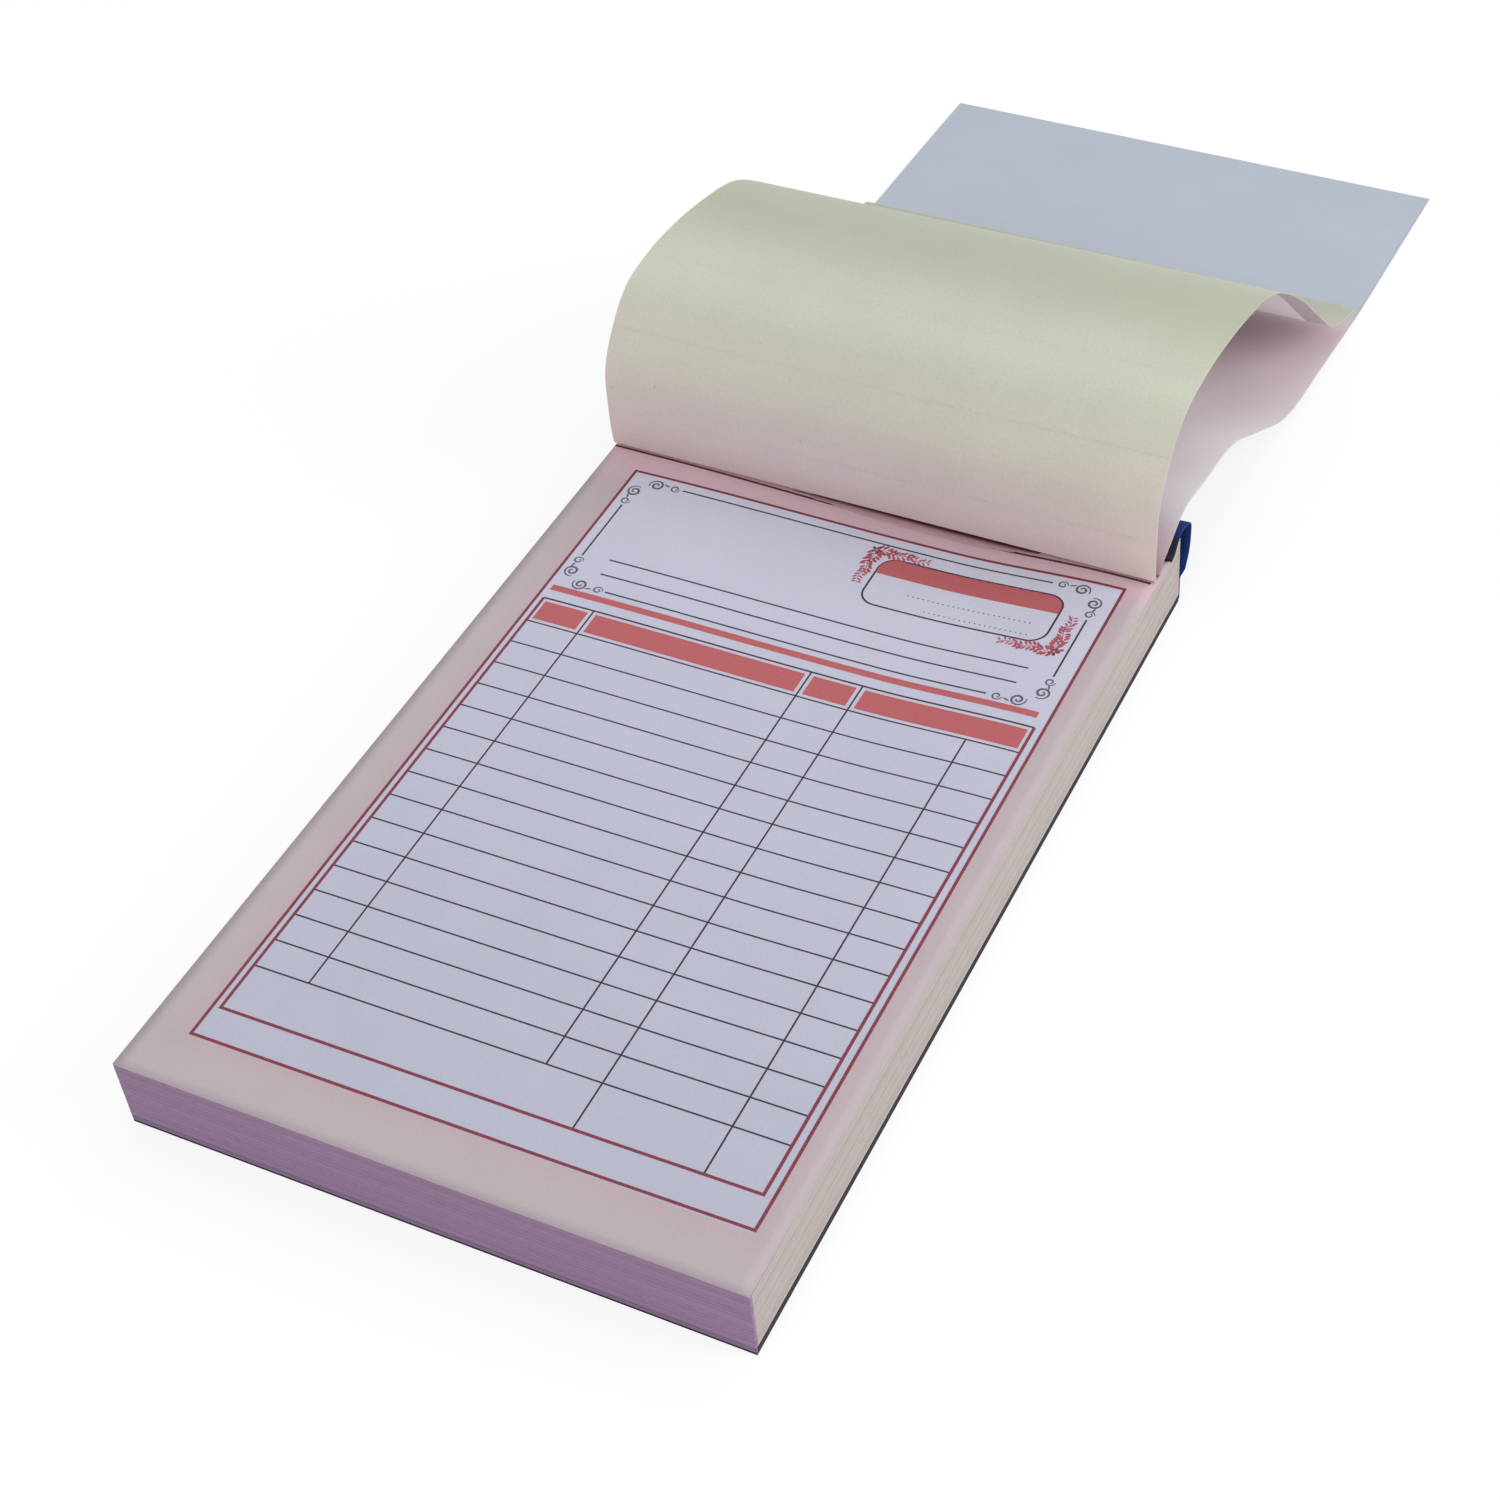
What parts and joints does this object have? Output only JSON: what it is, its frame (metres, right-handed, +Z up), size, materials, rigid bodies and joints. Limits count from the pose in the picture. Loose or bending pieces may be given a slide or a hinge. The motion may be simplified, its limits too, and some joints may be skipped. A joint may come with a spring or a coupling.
{
  "type": "cash receipt book",
  "caption": "Top-bound receipt pad lying open: leaf block on a back board, cloth spine tape, ruled top leaf, one leaf arched over and the cover turned behind.",
  "frame": {"origin": "middle of the back board's underside, on the table", "axes": "+Y points from the pad's free front edge to its bound edge and on along the turned sheets, +X to the right as the form is read, +Z up"},
  "size_m": [0.1133, 0.3142, 0.0457],
  "materials": {
    "board": "matt grey chipboard",
    "backing_sheet": "matt dark paper",
    "pad_leaves": "cut paper edges, mauve and cream",
    "duplicate_leaf": "uncoated pink paper",
    "top_leaf": "uncoated white paper with a pink tint at its margins",
    "turned_leaf": "uncoated paper, back side",
    "used_leaves": "uncoated paper, back side",
    "cover_card": "thin smooth card",
    "cloth_tape": "blue binding cloth",
    "staple_wire": "drawn wire"
  },
  "bodies": {
    "pad": {"back_board": "board", "backing_sheet": "backing_sheet", "leaf_section_01": "pad_leaves", "leaf_section_02": "pad_leaves", "leaf_section_03": "pad_leaves", "leaf_section_04": "pad_leaves", "leaf_section_05": "pad_leaves", "leaf_section_06": "pad_leaves", "leaf_section_07": "pad_leaves", "leaf_section_08": "pad_leaves", "leaf_section_09": "pad_leaves", "leaf_section_10": "pad_leaves", "leaf_section_11": "pad_leaves", "leaf_section_12": "pad_leaves", "leaf_section_13": "pad_leaves", "leaf_section_14": "pad_leaves", "leaf_section_15": "pad_leaves", "leaf_section_16": "pad_leaves", "leaf_section_17": "pad_leaves", "leaf_section_18": "pad_leaves", "leaf_section_19": "pad_leaves", "duplicate_leaf": "duplicate_leaf", "top_leaf": "top_leaf", "bound_margin": "used_leaves", "staple_left": "staple_wire", "staple_right": "staple_wire", "spine_tape": "cloth_tape"},
    "bundle_strip_01": {"front_cover_01": "cover_card", "used_leaves_01": "used_leaves"},
    "bundle_strip_02": {"front_cover_02": "cover_card", "used_leaves_02": "used_leaves"},
    "bundle_strip_03": {"front_cover_03": "cover_card", "used_leaves_03": "used_leaves"},
    "bundle_strip_04": {"front_cover_04": "cover_card", "used_leaves_04": "used_leaves"},
    "bundle_strip_05": {"front_cover_05": "cover_card", "used_leaves_05": "used_leaves"},
    "leaf_strip_01": {"turned_leaf_01": "turned_leaf"},
    "leaf_strip_02": {"turned_leaf_02": "turned_leaf"},
    "leaf_strip_03": {"turned_leaf_03": "turned_leaf"},
    "leaf_strip_04": {"turned_leaf_04": "turned_leaf"},
    "leaf_strip_05": {"turned_leaf_05": "turned_leaf"},
    "leaf_strip_06": {"turned_leaf_06": "turned_leaf"},
    "leaf_strip_07": {"turned_leaf_07": "turned_leaf"}
  },
  "joints": [
    {"name": "cover_turn", "type": "hinge", "parent": "pad", "child": "bundle_strip_01", "pos_m": [0, 0.076, 0.01531], "axis": [0.9998, -0.0175, 0], "range_deg": [0, 147.92]},
    {"name": "cover_bend_02", "type": "hinge", "parent": "bundle_strip_01", "child": "bundle_strip_02", "pos_m": [0.00017, 0.08578, 0.02144], "axis": [0.9998, -0.0175, 0], "range_deg": [0, 36.54]},
    {"name": "cover_bend_03", "type": "hinge", "parent": "bundle_strip_02", "child": "bundle_strip_03", "pos_m": [0.00058, 0.10948, 0.0196], "axis": [0.9998, -0.0175, 0], "range_deg": [0, 22.17]},
    {"name": "cover_bend_04", "type": "hinge", "parent": "bundle_strip_03", "child": "bundle_strip_04", "pos_m": [0.00111, 0.13986, 0.00438], "axis": [0.9998, -0.0175, 0], "range_deg": [-21.74, 0]},
    {"name": "cover_bend_05", "type": "hinge", "parent": "bundle_strip_04", "child": "bundle_strip_05", "pos_m": [0.00184, 0.18134, 0.00085], "axis": [0.9998, -0.0175, 0], "range_deg": [-4.87, 0]},
    {"name": "leaf_turn", "type": "hinge", "parent": "pad", "child": "leaf_strip_01", "pos_m": [0, 0.0746, 0.01436], "axis": [0.9998, -0.0175, 0], "range_deg": [0, 88.86]},
    {"name": "leaf_bend_02", "type": "hinge", "parent": "leaf_strip_01", "child": "leaf_strip_02", "pos_m": [-0.00001, 0.07423, 0.03231], "axis": [0.9998, -0.0175, 0], "range_deg": [0, 41.96]},
    {"name": "leaf_bend_03", "type": "hinge", "parent": "leaf_strip_02", "child": "leaf_strip_03", "pos_m": [0.00017, 0.08421, 0.0439], "axis": [0.9998, -0.0175, 0], "range_deg": [0, 43.89]},
    {"name": "leaf_bend_04", "type": "hinge", "parent": "leaf_strip_03", "child": "leaf_strip_04", "pos_m": [0.00048, 0.1021, 0.04558], "axis": [0.9998, -0.0175, 0], "range_deg": [0, 14.6]},
    {"name": "leaf_bend_05", "type": "hinge", "parent": "leaf_strip_04", "child": "leaf_strip_05", "pos_m": [0.00089, 0.12572, 0.04175], "axis": [0.9998, -0.0175, 0], "range_deg": [0, 27.09]},
    {"name": "leaf_bend_06", "type": "hinge", "parent": "leaf_strip_05", "child": "leaf_strip_06", "pos_m": [0.00123, 0.14488, 0.02768], "axis": [0.9998, -0.0175, 0], "range_deg": [0, 8.43]},
    {"name": "leaf_bend_07", "type": "hinge", "parent": "leaf_strip_06", "child": "leaf_strip_07", "pos_m": [0.00155, 0.16336, 0.00938], "axis": [0.9998, -0.0175, 0], "range_deg": [-28.67, 0]}
  ],
  "couplings": [
    {"joint": "cover_bend_02", "follows": "cover_turn", "ratio": 0.2469},
    {"joint": "cover_bend_03", "follows": "cover_turn", "ratio": 0.14978},
    {"joint": "cover_bend_04", "follows": "cover_turn", "ratio": -0.14689},
    {"joint": "cover_bend_05", "follows": "cover_turn", "ratio": -0.032923},
    {"joint": "leaf_turn", "follows": "cover_turn", "ratio": 0.60043},
    {"joint": "leaf_bend_02", "follows": "cover_turn", "ratio": 0.28353},
    {"joint": "leaf_bend_03", "follows": "cover_turn", "ratio": 0.29655},
    {"joint": "leaf_bend_04", "follows": "cover_turn", "ratio": 0.098633},
    {"joint": "leaf_bend_05", "follows": "cover_turn", "ratio": 0.18306},
    {"joint": "leaf_bend_06", "follows": "cover_turn", "ratio": 0.056929},
    {"joint": "leaf_bend_07", "follows": "cover_turn", "ratio": -0.19374}
  ]
}
